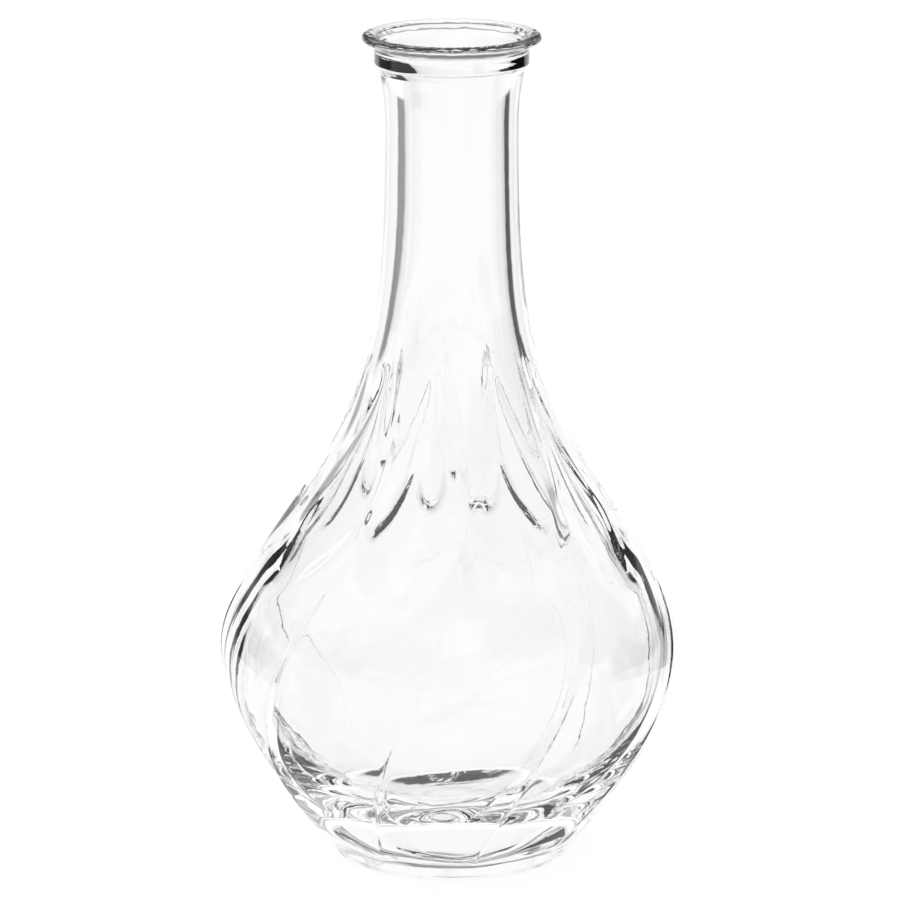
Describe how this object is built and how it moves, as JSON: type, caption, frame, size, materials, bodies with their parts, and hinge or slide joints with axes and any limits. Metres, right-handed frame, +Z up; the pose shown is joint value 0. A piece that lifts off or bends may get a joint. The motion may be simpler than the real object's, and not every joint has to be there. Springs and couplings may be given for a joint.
{
  "type": "bud vase",
  "caption": "Clear glass bud vase with a bulb-shaped bowl of swirling flutes, a slim round neck and a beaded lip, for a single stem or a small posy.",
  "frame": {"origin": "centre of the foot's standing ring, on the plane the vase stands on", "axes": "+Z up along the vase's axis; -Y is the front; +X to the right when seen from the front"},
  "size_m": [0.0935, 0.0932, 0.17],
  "materials": {
    "clear_glass": "clear, colourless, fire-polished pressed glass"
  },
  "bodies": {
    "root": {"vase_body": "clear_glass"}
  },
  "joints": []
}
